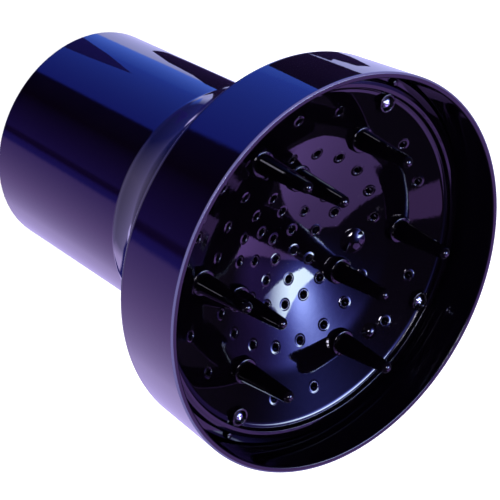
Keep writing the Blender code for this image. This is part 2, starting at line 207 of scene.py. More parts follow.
def turned(name, outline, steps):
    """A mesh turned about Z from a closed outline, run down its outer side; it is smooth all over.

    Where two neighbouring points lie on the axis, the outline closes on a pole.
    """
    normals = outline_normals(outline)
    verts = []
    vert_normals = []
    rings = []
    for (r, z), normal in zip(outline, normals):
        on_axis = r < 1e-6
        ring = []
        for j in range(1 if on_axis else steps):
            angle = math.tau * j / steps
            turn = (math.cos(angle), math.sin(angle))
            ring.append(len(verts))
            verts.append((r * turn[0] * MM, r * turn[1] * MM, z * MM))
            if on_axis:
                vert_normals.append((0.0, 0.0, 1.0 if normal.y > 0 else -1.0))
            else:
                vert_normals.append((normal.x * turn[0], normal.x * turn[1], normal.y))
        rings.append(ring * steps if on_axis else ring)
    faces = []
    for i, upper in enumerate(rings):
        lower = rings[(i + 1) % len(rings)]
        if upper[0] == upper[-1] and lower[0] == lower[-1]:
            continue
        for j in range(steps):
            k = (j + 1) % steps
            corners = (upper[j], lower[j], lower[k], upper[k])
            faces.append(tuple(dict.fromkeys(corners)))
    mesh = bpy.data.meshes.new(name)
    mesh.from_pydata(verts, [], faces)
    mesh.shade_smooth()
    mesh.normals_split_custom_set_from_vertices(vert_normals)
    return mesh


def piece(name, mesh, mat, nodes=()):
    """A visible piece: its object, material, slot, and the CAD nodes that it stands for."""
    obj = bpy.data.objects.new(name, mesh)
    bpy.context.scene.collection.objects.link(obj)
    mesh.materials.clear()
    mesh.materials.append(mat)
    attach(obj, BODY)
    if nodes:
        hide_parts(*nodes)


def joined(name, placed_meshes):
    """One mesh holding a copy of each mesh at its matrix."""
    bm = bmesh.new()
    for mesh, matrix in placed_meshes:
        before = len(bm.verts)
        bm.from_mesh(mesh)
        bm.verts.ensure_lookup_table()
        bmesh.ops.transform(bm, matrix=matrix, verts=bm.verts[before:])
    mesh = bpy.data.meshes.new(name)
    bm.to_mesh(mesh)
    bm.free()
    return mesh


def carved(base, additions, cuts):
    """The base mesh with one mesh added to it and another cut out of it, both taken away afterwards."""
    obj = bpy.data.objects.new("carved", base)
    bpy.context.scene.collection.objects.link(obj)
    helpers = []
    for mesh, operation in ((additions, "UNION"), (cuts, "DIFFERENCE")):
        if mesh is None:
            continue
        helper = bpy.data.objects.new("carver", mesh)
        bpy.context.scene.collection.objects.link(helper)
        helpers.append(helper)
        modifier = obj.modifiers.new(operation, "BOOLEAN")
        modifier.operation = operation
        modifier.solver = "EXACT"
        modifier.use_self = operation == "UNION"
        modifier.object = helper
    depsgraph = bpy.context.evaluated_depsgraph_get()
    result = bpy.data.meshes.new_from_object(obj.evaluated_get(depsgraph))
    for made in helpers + [obj]:
        bpy.data.objects.remove(made)
    return result


def polar(azimuth, radius, height=0.0):
    """A place in metres, from an azimuth in degrees and a radius and height in millimetres."""
    angle = math.radians(azimuth)
    return Vector((radius * math.cos(angle), radius * math.sin(angle), height)) * MM


def placed(azimuth, radius, height, tilt=0.0):
    """A frame at a polar place, turned to its azimuth and leaning towards the axis by a tilt in radians."""
    turn = Matrix.Rotation(math.radians(azimuth), 4, "Z")
    return Matrix.Translation(polar(azimuth, radius, height)) @ turn @ Matrix.Rotation(-tilt, 4, "Y")


def spot_of(node):
    """Azimuth and radius of a CAD node's middle."""
    low, high = box_mm(node)
    centre = (low + high) / 2
    return math.degrees(math.atan2(centre.y, centre.x)), math.hypot(centre.x, centre.y)


# ---------------------------------------------------------------- materials

class Graph:
    """Short names for building a material's nodes."""

    def __init__(self, tree):
        self.tree = tree

    def node(self, kind, **settings):
        made = self.tree.nodes.new(kind)
        for key, value in settings.items():
            setattr(made, key, value)
        return made

    def link(self, source, target):
        self.tree.links.new(source, target)

    def fill(self, socket, value):
        if isinstance(value, bpy.types.NodeSocket):
            self.link(value, socket)
        else:
            socket.default_value = value

    def math(self, operation, a, b=0.0, c=0.0, clamp=False):
        made = self.node("ShaderNodeMath", operation=operation, use_clamp=clamp)
        for socket, value in zip(made.inputs, (a, b, c)):
            self.fill(socket, value)
        return made.outputs[0]

    def mix(self, factor, a, b, blend="MIX"):
        made = self.node("ShaderNodeMix", data_type="RGBA", blend_type=blend)
        self.fill(made.inputs["Factor"], factor)
        self.fill(made.inputs["A"], a)
        self.fill(made.inputs["B"], b)
        return made.outputs["Result"]

    def noise(self, coords, scale, detail=2.0, roughness=0.5):
        made = self.node("ShaderNodeTexNoise")
        self.link(coords, made.inputs["Vector"])
        made.inputs["Scale"].default_value = scale
        made.inputs["Detail"].default_value = detail
        made.inputs["Roughness"].default_value = roughness
        return made.outputs["Fac"]

    def remap(self, value, from_min, from_max, to_min, to_max):
        made = self.node("ShaderNodeMapRange")
        for socket, number in zip(made.inputs, (value, from_min, from_max, to_min, to_max)):
            self.fill(socket, number)
        return made.outputs[0]

    def bump(self, height, strength, distance, normal=None):
        made = self.node("ShaderNodeBump")
        made.inputs["Strength"].default_value = strength
        made.inputs["Distance"].default_value = distance
        self.link(height, made.inputs["Height"])
        if normal is not None:
            self.link(normal, made.inputs["Normal"])
        return made.outputs[0]


def new_material(name):
    mat = bpy.data.materials.new(name)
    mat.use_nodes = True
    graph = Graph(mat.node_tree)
    shader = mat.node_tree.nodes["Principled BSDF"]
    coords = graph.node("ShaderNodeTexCoord").outputs["Object"]
    return mat, graph, shader, coords


def lip_highlight_mask(graph, coords):
    """1 on the rounded outer edge of the mouth's lip, where a painted highlight makes the plastic paler."""
    split = graph.node("ShaderNodeSeparateXYZ")
    graph.link(coords, split.inputs[0])
    x, y, z = split.outputs
    radius = graph.math("SQRT", graph.math("ADD", graph.math("MULTIPLY", x, x), graph.math("MULTIPLY", y, y)))
    heights = [(LIP_Z - depth) * MM for depth in LIP_HIGHLIGHT_DOWN]
    radii = [(LIP_R - depth) * MM for depth in LIP_HIGHLIGHT_IN]
    near_top = graph.remap(z, *heights, 0.0, 1.0)
    near_rim = graph.remap(radius, *radii, 0.0, 1.0)
    return graph.math("MULTIPLY", near_top, near_rim)


def gloss_plastic(name, dark, light, roughness):
    """Polished moulded plastic: flow marks in the colour, a faint waviness, fine dust, worn edges and a
    painted highlight on the lip's outer edge.
    """
    mat, graph, shader, coords = new_material(name)
    flow = graph.noise(coords, scale=55.0, detail=3.0)
    edges = graph.node("ShaderNodeNewGeometry").outputs["Pointiness"]
    wear = graph.remap(edges, 0.53, 0.62, 0.0, 1.0)
    scuffs = graph.noise(coords, scale=900.0, detail=4.0, roughness=0.7)
    worn = graph.math("MULTIPLY", wear, graph.remap(scuffs, 0.45, 0.7, 0.0, 1.0))
    worn_colour = (0.05, 0.045, 0.07, 1.0)
    # painted highlight: the paler colour of the lip's outer edge, standing for the bright line reflected there
    lip_highlight_colour = (0.12, 0.11, 0.27, 1.0)
    colour = graph.mix(flow, (*dark, 1.0), (*light, 1.0))
    colour = graph.mix(graph.math("MULTIPLY", worn, 0.5), colour, worn_colour)
    # lays the painted highlight over the lip's rounded outer edge
    colour = graph.mix(lip_highlight_mask(graph, coords), colour, lip_highlight_colour)
    graph.link(colour, shader.inputs["Base Color"])
    dust = 0.03
    specks = graph.remap(graph.noise(coords, scale=2600.0, detail=2.0), 0.72, 0.78, 0.0, dust * 10)
    smears = graph.remap(graph.noise(coords, scale=140.0, detail=3.0), 0.35, 0.75, 0.0, dust)
    rough = graph.math("ADD", roughness, graph.math("ADD", specks, smears))
    rough = graph.math("ADD", rough, graph.math("MULTIPLY", worn, 0.2), clamp=True)
    graph.link(rough, shader.inputs["Roughness"])
    waves = graph.noise(coords, scale=28.0, detail=1.0)
    ripples = graph.noise(coords, scale=420.0, detail=2.0)
    slow = graph.bump(waves, strength=0.04, distance=0.002)
    fine = graph.bump(ripples, strength=0.02, distance=0.0004, normal=slow)
    graph.link(fine, shader.inputs["Normal"])
    shader.inputs["IOR"].default_value = 1.5
    return mat


def bright_metal(name):
    """Plated steel with fine polishing marks, duller in patches."""
    mat, graph, shader, coords = new_material(name)
    patches = graph.noise(coords, scale=600.0, detail=3.0)
    smears = graph.noise(coords, scale=1500.0, detail=3.0)
    marks = graph.noise(coords, scale=3000.0, detail=2.0)
    colour = graph.mix(patches, (0.62, 0.66, 0.76, 1.0), (0.85, 0.87, 0.93, 1.0))
    graph.link(colour, shader.inputs["Base Color"])
    graph.link(graph.remap(smears, 0.3, 0.7, 0.1, 0.24), shader.inputs["Roughness"])
    graph.link(graph.bump(marks, strength=0.08, distance=0.0002), shader.inputs["Normal"])
    shader.inputs["Metallic"].default_value = 1.0
    return mat


def matt_plastic(name, dark, light, roughness, grain, depth):
    """Spark-eroded or soft-touch plastic with a fine grain."""
    mat, graph, shader, coords = new_material(name)
    clouds = graph.noise(coords, scale=90.0, detail=4.0)
    graph.link(graph.mix(clouds, (*dark, 1.0), (*light, 1.0)), shader.inputs["Base Color"])
    texture = graph.noise(coords, scale=grain, detail=3.0, roughness=0.6)
    graph.link(graph.remap(texture, 0.3, 0.7, roughness - 0.08, roughness + 0.1), shader.inputs["Roughness"])
    graph.link(graph.bump(texture, strength=depth, distance=0.0003), shader.inputs["Normal"])
    return mat


def dress(node, mat):
    """Gives a CAD node that stays visible its material."""
    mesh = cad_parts[node].data
    mesh.materials.clear()
    mesh.materials.append(mat)


# ---------------------------------------------------------------- housing and bowl

def flare_line(offset, points=25):
    """The flare's section from its front end down, moved inwards by offset: a hollow, trumpet-like sweep."""
    start = Vector(FLARE_START)
    end = Vector(FLARE_END)
    run = end - start
    inward = Vector((-run.y, run.x)).normalized()
    line = []
    for i in range(points):
        t = 1.0 - i / (points - 1)
        point = start + run * t + inward * (offset + FLARE_HOLLOW * 4.0 * t * (1.0 - t))
        line.append((point.x, point.y))
    return line


def make_housing(mat):
    """Collar, flare and spigot as one section, run down the outside and back up the inside."""
    spigot_in = SPIGOT_R - SPIGOT_WALL
    seam_z = BOWL_REAR_Z - GAP
    neck_r, neck_z = COLLAR_FRONT
    outline = [(SPIGOT_R, SPIGOT_TOP, 0.3), (SPIGOT_R, seam_z), (FLARE_END[0], seam_z, 0.4)]
    outline += flare_line(0.0)
    outline += [(neck_r + NECK_STEP[0], neck_z + NECK_STEP[1], 0.7), (neck_r, neck_z)]
    outline += [(COLLAR_REAR_R, 0.0, 0.5)]
    outline += [(REBATE[0], 0.0, 0.2), (*REBATE, 0.1), (COLLAR_REAR_R - WALL, REBATE[1], 0.3)]
    outline += [(neck_r - WALL, neck_z + NECK_IN_RISE, 1.5)]
    outline += [p for p in reversed(flare_line(WALL)) if p[0] < spigot_in - 1.0]
    outline += [(spigot_in, seam_z - WALL, 1.5), (spigot_in, SPIGOT_TOP, 0.3)]
    mesh = turned("housing_shell", rounded(outline), FINE_STEPS)
    piece("housing_shell", mesh, mat, ["rear_housing"])


def make_bowl(mat):
    """The deep ring round the mouth, run down the outside and back up over its shelf and ledge."""
    inner_r = SPIGOT_R + GAP
    shelf_top = SHELF_Z + SHELF_T
    round_r, round_z = BOWL_REAR_ROUND
    round_centre = (BOWL_REAR_R + BOWL_REAR_SWELL - round_r, BOWL_REAR_Z + round_z)
    outline = [(LIP_R, LIP_Z, LIP_ROUND)] + arc(round_centre, round_r, round_z, 0, -90, 12)
    outline += [(inner_r, BOWL_REAR_Z, 0.2), (inner_r, SHELF_Z), (SHELF_HOLE_R, SHELF_Z, 0.4)]
    outline += [(SHELF_HOLE_R, shelf_top, 0.4), (inner_r - GAP, shelf_top, 0.6), (inner_r, LEDGE_Z, 0.2)]
    outline += [(inner_r + LEDGE_W, LEDGE_Z, 0.3), (LIP_R - LIP_WALL, LIP_Z, LIP_ROUND)]
    mesh = turned("bowl_shell", rounded(outline), FINE_STEPS)
    piece("bowl_shell", mesh, mat, ["bowl_ring"])


def make_pillars(mat):
    """Screw pillars on the bowl's shelf, each with a pilot hole."""
    top = LEDGE_Z - PILLAR_SHORT
    root = SHELF_Z + SHELF_T / 2
    hole_end = top - PILOT_DEPTH
    outline = [(PILOT_R, top, 0.2), (PILLAR_R, top, 0.4), (PILLAR_R, root), (0.0, root)]
    outline += [(0.0, hole_end), (PILOT_R, hole_end, 0.2)]
    pillar = turned("pillar", rounded(outline), SMALL_STEPS)
    spots = [placed(*spot_of(name), 0.0) for name in SCREWS]
    piece("bowl_pillars", joined("bowl_pillars", [(pillar, spot) for spot in spots]), mat)


# ---------------------------------------------------------------- dish

DISH_CONE_SLOPE = DISH_RISE * 0.5 * math.pi / DISH_SWEEP_R
DISH_BEND = (DISH_CONE_SLOPE - DISH_EDGE_SLOPE) / (DISH_EDGE_R - DISH_CONE_R)


def dish_top(radius):
    """Height of the dish's upper face: a dished middle, then a cone, then a narrow edge that levels out."""
    middle = min(radius, DISH_SWEEP_R / 2)
    height = DISH_BOTTOM_Z + DISH_RISE * 0.5 * (1.0 - math.cos(math.pi * middle / DISH_SWEEP_R))
    levelling = max(radius - DISH_CONE_R, 0.0)
    return height + DISH_CONE_SLOPE * (radius - middle) - DISH_BEND * levelling ** 2 / 2


def dish_tilt(radius):
    """Slope of the dish at a radius, as an angle in radians."""
    middle = min(radius, DISH_SWEEP_R / 2)
    slope = DISH_CONE_SLOPE * math.sin(math.pi * middle / DISH_SWEEP_R)
    return math.atan(slope - DISH_BEND * max(radius - DISH_CONE_R, 0.0))


def eased(value, start, end):
    """0 up to the start and 1 from the end on, with a smooth way between."""
    share = min(max((value - start) / (end - start), 0.0), 1.0)
    return share * share * (3.0 - 2.0 * share)


def sheen_tilt(radius):
    """Slope shown by the gloss: the outer half leans in a little more, and levels at the very edge."""
    sunk = dish_tilt(min(radius, DISH_CONE_R)) + SHEEN_SINK * eased(radius, *SUNK)
    level = eased(radius, *[DISH_EDGE_R - margin for margin in LEVELLING])
    return sunk + (dish_tilt(radius) - sunk) * level


def on_dish(azimuth, radius):
    """A frame on the dish's upper face, leaning with it."""
    return placed(azimuth, radius, dish_top(radius), dish_tilt(radius))


def dish_mesh():
    """The plain dish: its upper face outwards, the bead and flange, and its under face back to the middle."""
    cone_rings = 44
    edge_rings = 8
    radii = [DISH_CONE_R * i / cone_rings for i in range(cone_rings + 1)]
    radii += [DISH_CONE_R + (DISH_EDGE_R - DISH_CONE_R) * i / edge_rings for i in range(1, edge_rings + 1)]
    last_r = radii[-2]
    edge_z = dish_top(DISH_EDGE_R)
    bead_z = edge_z + BEAD_H
    bead_in = BEAD_R - BEAD_HALF_W
    bead_out = BEAD_R + BEAD_HALF_W
    flange_low = LEDGE_Z + GAP
    top = [(r, dish_top(r)) for r in radii[:-1]]
    edge = [(last_r, dish_top(last_r)), (bead_in + 0.1, edge_z + 0.05, 0.8)]
    edge += [(bead_in + 0.5, bead_z - 0.1, 0.35), (BEAD_R, bead_z + 0.05, 2.0)]
    edge += [(bead_out - 0.4, bead_z - 0.15, 0.5), (bead_out, FLANGE_TOP, 0.5), (FLANGE_R, FLANGE_TOP, 0.3)]
    edge += [(FLANGE_R, flange_low, 0.2), (DISH_EDGE_R, flange_low, 0.4)]
    edge += [(last_r, dish_top(last_r) - DISH_T)]
    under = [(r, dish_top(r) - DISH_T) for r in reversed(radii[:-1])]
    return turned("dish", top + rounded(edge)[1:-1] + under, FINE_STEPS)


def finger_spots():
    """Azimuth and radius of each finger."""
    return [spot_of(name) for name in FINGERS]


def clear_of_domes(spot):
    """Whether a perforation there, with its rim, misses the domes."""
    return all((spot - polar(azimuth, radius)).length > (half_width + RIM_R) * MM
               for radius, azimuth, half_width, _ in DOMES)


def hole_spots():
    """Azimuth and radius of each perforation that the fingers' bosses and the domes leave room for."""
    room = (BOSS_R + HOLE_R + HOLE_ROUND + GAP) * MM
    taken = [polar(*spot) for spot in finger_spots()]
    spots = []
    for count, radius, first in HOLE_RINGS:
        for i in range(count):
            azimuth = first + 360.0 * i / count
            spot = polar(azimuth, radius)
            if all((spot - other).length > room for other in taken) and clear_of_domes(spot):
                spots.append((azimuth, radius))
    for name, (azimuth, _) in zip(FINGERS, finger_spots()):
        if "outer" in name:
            spots += [(azimuth - EDGE_HOLE_SPREAD, EDGE_HOLE_R), (azimuth + EDGE_HOLE_SPREAD, EDGE_HOLE_R)]
    return spots


def boss_mesh():
    """The round boss that a finger stands on, through to the dish's underside."""
    outline = [(0.0, BOSS_ABOVE), (BOSS_R, BOSS_ABOVE, 0.6), (BOSS_R, -BOSS_BELOW, 0.3), (0.0, -BOSS_BELOW)]
    return turned("boss", rounded(outline), MEDIUM_STEPS)


def rim_mesh():
    """The low swelling round a perforation, falling away to just under the dish's face."""
    fall = ((1.9, 1.0), (2.2, 0.85), (2.5, 0.5), (2.8, 0.1))
    outline = [(0.0, RIM_H)] + [(radius, RIM_H * share) for radius, share in fall]
    outline += [(RIM_R, -0.1), (RIM_R, -0.9), (0.0, -0.9)]
    return turned("rim", outline, SMALL_STEPS)


def cup_mesh(top):
    """The outside of a screw cup, from its rim down to the bowl's pillar."""
    low = LEDGE_Z - 0.5
    outline = [(0.0, top), (CUP_R, top, 0.45), (CUP_R, low, 0.2), (0.0, low)]
    return turned("seat", rounded(outline), MEDIUM_STEPS)


def nub_mesh():
    """A locating nub on the dish's flange, beside each screw."""
    top = DISH[1].z - NUB_BELOW
    low = FLANGE_TOP - 1.0
    outline = [(0.0, top), (NUB_R, top, 0.7), (NUB_R, low), (0.0, low)]
    return turned("nub", rounded(outline), SMALL_STEPS)


def dome_mesh(half_width, height):
    """A cap of a ball that reaches the given half width and height."""
    ball_r = (half_width ** 2 + height ** 2) / (2.0 * height)
    edge = math.degrees(math.acos(half_width / ball_r))
    sunk = DISH_T - 0.2
    outline = arc((0.0, height - ball_r), ball_r, ball_r, 90, edge, 12) + [(half_width, -sunk), (0.0, -sunk)]
    return turned("dome", outline, MEDIUM_STEPS)


def dish_additions():
    """Everything that stands on the dish: bosses, hole rims, screw cups, locating nubs and domes."""
    boss = boss_mesh()
    rim = rim_mesh()
    nub = nub_mesh()
    parts = [(boss, placed(azimuth, radius, dish_top(radius))) for azimuth, radius in finger_spots()]
    parts += [(rim, on_dish(*spot)) for spot in hole_spots()]
    for name in SCREWS:
        azimuth, radius = spot_of(name)
        parts.append((cup_mesh(dish_top(radius) + CUP_H), placed(azimuth, radius, 0.0)))
        parts.append((nub, placed(azimuth, FLANGE_R - NUB_R - NUB_INSET, 0.0)))
    for radius, azimuth, half_width, height in DOMES:
        parts.append((dome_mesh(half_width, height), on_dish(azimuth, radius)))
    return joined("dish_additions", parts)


def hole_mesh():
    """The cutter of a perforation, flared at its mouth."""
    reach = 3.0
    mouth = arc((HOLE_R + HOLE_ROUND, RIM_H - HOLE_ROUND), HOLE_ROUND, HOLE_ROUND, 97, 180, 7)
    outline = [(0.0, reach), (mouth[0][0], reach)] + mouth + [(HOLE_R, -reach), (0.0, -reach)]
    return turned("hole", outline, SMALL_STEPS)


def stem_hole_mesh():
    """The cutter of the hole for a finger's stem."""
    reach = 8.0
    outline = [(0.0, reach), (STEM_HOLE_R, reach), (STEM_HOLE_R, -reach), (0.0, -reach)]
    return turned("stem", outline, SMALL_STEPS)


def recess_mesh(floor):
    """The cutter of a screw cup: the recess for the head, and the hole for the shank under it."""
    top = floor + 4
    low = LEDGE_Z - 2
    outline = [(0.0, top), (CUP_RECESS_R, top), (CUP_RECESS_R, floor, 0.4)]
    outline += [(CUP_HOLE_R, floor, 0.1), (CUP_HOLE_R, low), (0.0, low)]
    return turned("recess", rounded(outline), MEDIUM_STEPS)


def dish_cuts():
    """Everything cut through the dish: perforations, holes for the fingers' stems and screw recesses."""
    hole = hole_mesh()
    stem = stem_hole_mesh()
    parts = [(hole, on_dish(*spot)) for spot in hole_spots()]
    parts += [(stem, placed(azimuth, radius, dish_top(radius))) for azimuth, radius in finger_spots()]
    for name in SCREWS:
        azimuth, radius = spot_of(name)
        parts.append((recess_mesh(dish_top(radius)), placed(azimuth, radius, 0.0)))
    return joined("dish_cuts", parts)


def shade_dish(mesh):
    """Gives the dish's two broad faces the normals of its gloss, so that cuts leave no mark in reflections."""
    mesh.shade_smooth()
    mesh.set_sharp_from_angle(angle=math.radians(DISH_SHARP_ANGLE))
    normals = [corner.vector.copy() for corner in mesh.corner_normals]
    near_face = 0.02 * MM
    same_way = 0.94
    last_r = DISH_EDGE_R - 0.7
    pole = 1e-7
    for face in mesh.polygons:
        flat = face.normal
        for loop in face.loop_indices:
            point = mesh.vertices[mesh.loops[loop].vertex_index].co
            radius = math.hypot(point.x, point.y)
            if radius / MM > last_r or radius < pole:
                continue
            depth = dish_top(radius / MM) * MM - point.z
            tilt = sheen_tilt(radius / MM)
            inward = math.sin(tilt) / radius
            lean = Vector((-inward * point.x, -inward * point.y, math.cos(tilt)))
            if abs(depth) < near_face and flat.dot(lean) > same_way:
                normals[loop] = lean
            elif abs(depth - DISH_T * MM) < near_face and flat.dot(-lean) > same_way:
                normals[loop] = -lean
    mesh.normals_split_custom_set(normals)


def make_dish(mat):
    mesh = carved(dish_mesh(), dish_additions(), dish_cuts())
    shade_dish(mesh)
    piece("perforated_dish", mesh, mat, ["finger_dish"])


# ---------------------------------------------------------------- fingers and screws

FINGER_LENGTH = 26.0
FINGER_ROOT_R = 4.0
FINGER_TIP_R = 2.4
FINGER_TIP_H = 1.7
STEM_R = 1.8
STAKE_R = 3.0
STAKE_H = 1.2

SCREW_HEAD_R = 2.1
SCREW_HEAD_H = 1.5
SCREW_SHANK_R = 0.9
SCREW_SHANK_END = -9.4
SCREW_POINT = -10.4


def finger_mesh(name, stake_z):
    """A finger above its foot: round tip, tapered body, stem through the boss and the staked end under it."""
    tip_z = FINGER_LENGTH - FINGER_TIP_H
    body = [(FINGER_TIP_R, tip_z), (FINGER_ROOT_R, 0.9), (FINGER_ROOT_R, 0.0, 0.3), (STEM_R, 0.0)]
    body += [(STEM_R, stake_z + STAKE_H), (STAKE_R, stake_z + STAKE_H, 0.3), (STAKE_R, stake_z + 0.5)]
    body += [(STAKE_R - 0.6, stake_z, 0.3), (0.0, stake_z)]
    tip = arc((0.0, tip_z), FINGER_TIP_R, FINGER_TIP_H, 90, 4, 14)
    return turned(name, tip + rounded(body)[1:], MEDIUM_STEPS)


def make_fingers(mat):
    for name in FINGERS:
        low, high = box_mm(name)
        foot = high.z - FINGER_LENGTH
        mesh = finger_mesh(name + "_pin", low.z - foot)
        mesh.transform(placed(*spot_of(name), foot))
        piece(name + "_pin", mesh, mat, [name])


def cross_wing(turn):
    """The cutter of half the cross recess: a flattened, four-sided spike that points down."""
    point_r = 0.25 * MM
    wide_r = 1.75 * MM
    depth = 1.6 * MM
    middle_z = 1.15 * MM
    flatness = 0.3
    bm = bmesh.new()
    bmesh.ops.create_cone(bm, cap_ends=True, segments=4, radius1=point_r, radius2=wide_r, depth=depth)
    bmesh.ops.rotate(bm, matrix=Matrix.Rotation(math.radians(45), 3, "Z"), verts=bm.verts)
    bmesh.ops.scale(bm, vec=(1.0, flatness, 1.0), verts=bm.verts)
    bmesh.ops.rotate(bm, matrix=Matrix.Rotation(math.radians(turn), 3, "Z"), verts=bm.verts)
    bmesh.ops.translate(bm, vec=(0.0, 0.0, middle_z), verts=bm.verts)
    wing = bpy.data.meshes.new("wing")
    bm.to_mesh(wing)
    bm.free()
    return wing


def screw_mesh():
    """A pan-head screw standing on the plane of its seat, with a cross recess."""
    rise = 0.55
    crown = arc((0.0, rise), SCREW_HEAD_R, SCREW_HEAD_H - rise, 90, 0, 12)
    shank = [(SCREW_HEAD_R, 0.5), (SCREW_HEAD_R, 0.0, 0.15), (SCREW_SHANK_R, 0.0)]
    shank += [(SCREW_SHANK_R, SCREW_SHANK_END), (0.0, SCREW_POINT)]
    body = turned("screw", crown + rounded(shank)[1:], MEDIUM_STEPS)
    for turn in (0.0, 90.0):
        body = carved(body, None, cross_wing(turn))
    body.shade_smooth()
    body.set_sharp_from_angle(angle=math.radians(35))
    return body


def make_screws(mat):
    template = screw_mesh()
    first_turn = 20.0
    turn_step = 17.0
    for i, name in enumerate(SCREWS):
        mesh = template.copy()
        seat = box_mm(name)[1].z - SCREW_HEAD_H
        turn = Matrix.Rotation(math.radians(turn_step * i + first_turn), 4, "Z")
        mesh.transform(placed(*spot_of(name), seat) @ turn)
        piece(name + "_head", mesh, mat, [name])


# ---------------------------------------------------------------- studio

def towards(azimuth, elevation):
    """The direction of an azimuth and elevation."""
    a = math.radians(azimuth)
    e = math.radians(elevation)
    return Vector((math.cos(e) * math.cos(a), math.cos(e) * math.sin(a), math.sin(e)))


class Sky(Graph):
    """The studio as seen in the gloss: a world of bands and panels placed by direction."""

    def __init__(self, tree):
        super().__init__(tree)
        self.direction = self.node("ShaderNodeTexCoord").outputs["Generated"]
        split = self.node("ShaderNodeSeparateXYZ")
        self.link(self.direction, split.inputs[0])
        self.x, self.y, self.z = split.outputs

    def dot(self, vector):
        made = self.node("ShaderNodeVectorMath", operation="DOT_PRODUCT")
        self.link(self.direction, made.inputs[0])
        made.inputs[1].default_value = vector
        return made.outputs["Value"]

    def step(self, value, edge, softness):
        """0 below the edge and 1 above it, over a soft width."""
        return self.remap(value, edge - softness, edge + softness, 0.0, 1.0)

    def panel(self, corners, softness):
        """Mask of a straight-sided panel, its corners counter-clockwise as (azimuth, elevation)."""
        aims = [towards(*corner) for corner in corners]
        mask = 1.0
        for first, second in zip(aims, aims[1:] + aims[:1]):
            inside = self.dot(first.cross(second).normalized())
            mask = self.math("MULTIPLY", mask, self.step(inside, 0.0, math.radians(softness)))
        return mask

    def glow(self, azimuth, elevation, spread):
        """Mask that falls off round a direction, to about 0.6 at the spread in degrees."""
        facing = self.math("MAXIMUM", self.dot(towards(azimuth, elevation)), 0.0)
        return self.math("POWER", facing, 1.0 / math.radians(spread) ** 2)


# bands round the horizon and below it: first and last azimuth, and the colour at each
BANDS = (
    (-180, -123, (0.66, 0.63, 1.1), (1.2, 1.25, 2.45)),
    (-121, -97, (0.30, 0.64, 2.8), (0.15, 0.36, 2.35)),
    (-97, -38, (0.13, 0.3, 2.2), (0.085, 0.14, 1.7)),
    (-35, -10, (0.012, 0.006, 0.09), (0.01, 0.0, 0.02)),
    (-10, 30, (0.01, 0.0, 0.02), (0.1, 0.05, 0.58)),
    (32, 36, (0.05, 0.02, 0.25), (0.04, 0.01, 0.18)),
    (39, 44, (0.1, 0.06, 0.85), (0.12, 0.08, 1.05)),
    (47, 85, (0.5, 0.29, 1.4), (0.98, 0.64, 1.85)),
    (85, 125, (0.98, 0.64, 1.85), (1.38, 1.1, 2.25)),
    (125, 180, (1.38, 1.1, 2.25), (0.56, 0.52, 0.95)),
)
BAND_STRENGTH = 3.0

# panels seen by the dish, fingers and edges: corners as (azimuth, elevation), softness, colour
PANELS = (
    ("far wall",
     ((186, 20), (208, 33), (222, 50), (215, 78), (190, 72)), 4.0, (0.17, 0.09, 0.6)),
    ("left screen",
     ((143, 45), (161, 20), (170, 14), (169, 48), (152, 59), (141, 53)), 0.25, (0.8, 0.45, 1.65)),
    ("middle screen",
     ((177, 8), (187, 8), (187, 46), (184, 58), (173, 48), (173, 36)), 0.3, (0.85, 0.45, 1.75)),
    ("high screen",
     ((112, 57), (126, 55), (127, 63), (112, 65)), 0.3, (0.7, 0.35, 1.3)),
)

# the same, below the horizon: seen by the flare and the rounded edges only
LOW_PANELS = (
    ("seam shadow", ((135, -64), (225, -64), (218, -49), (142, -49)), 1.0, (0.03, 0.025, 0.3)),
    ("flare streak", ((140, -69), (220, -69), (215, -65), (145, -65)), 0.5, (1.5, 1.3, 2.6)),
)

# soft glows: azimuth, elevation, spread, colour
GLOWS = (
    (208, 61, 7.5, (1.2, 1.4, 8.5)),
    (208, 61.5, 4.0, (7.5, 9.5, 24.0)),
)

# lamps: corners, softness, colour at the low end, colour at the high end, elevations of the two ends
LAMPS = (
    ("window",
     ((188, 61), (202, 41), (213, 52), (192, 67)), 0.3, (1.6, 1.7, 4.6), (16.0, 19.5, 25.0), 43, 56),
    ("top light",
     ((-70, 79), (30, 79), (10, 86), (-50, 86)), 0.5, (60.0, 58.0, 75.0), (60.0, 58.0, 75.0), 70, 88),
)

ROOM_DARK = (0.03, 0.022, 0.05, 1.0)
FLOOR_BLUE = (0.05, 0.06, 0.45, 1.0)
FLOOR_LILAC = (0.5, 0.42, 0.95, 1.0)

# sines of elevation: where the bands end below, where they fade on the way up to the horizon, and the soft
# widths of the two edges; FADED is the share of their light that is left
BANDS_END = -0.875
FADE_FROM = -0.6
FADE_TO = -0.48
FADED = 0.35
BANDS_SOFT = 0.015
HORIZON_SOFT = 0.01


def band_ramp(sky):
    """The bands as a colour ramp round the horizon, kept within 0 to 1 by BAND_STRENGTH."""
    ramp = sky.node("ShaderNodeValToRGB")
    azimuth = sky.math("ARCTAN2", sky.y, sky.x)
    sky.link(sky.remap(azimuth, -math.pi, math.pi, 0.0, 1.0), ramp.inputs[0])
    stops = [(end, colour) for first, last, a, b in BANDS for end, colour in ((first, a), (last, b))]
    elements = ramp.color_ramp.elements
    while len(elements) < len(stops):
        elements.new(1.0)
    for element, (degrees, colour) in zip(elements, stops):
        element.position = (degrees + 180.0) / 360.0
        element.color = (*[c / BAND_STRENGTH for c in colour], 1.0)
    return ramp.outputs[0]


def low_sky(sky):
    """What the walls and the flare show: the bands, the floor under them and a few panels."""
    low = sky.mix(1.0, band_ramp(sky), (BAND_STRENGTH,) * 3 + (1.0,), "MULTIPLY")
    floor = sky.mix(sky.remap(sky.y, -0.2, 0.1, 0.0, 1.0), FLOOR_BLUE, FLOOR_LILAC)
    low = sky.mix(sky.step(sky.math("MULTIPLY", sky.z, -1.0), -BANDS_END, BANDS_SOFT), low, floor)
    low = sky.mix(1.0, low, sky.remap(sky.z, FADE_FROM, FADE_TO, 1.0, FADED), "MULTIPLY")
    for _, corners, softness, colour in LOW_PANELS:
        low = sky.mix(sky.panel(corners, softness), low, (*colour, 1.0))
    return low


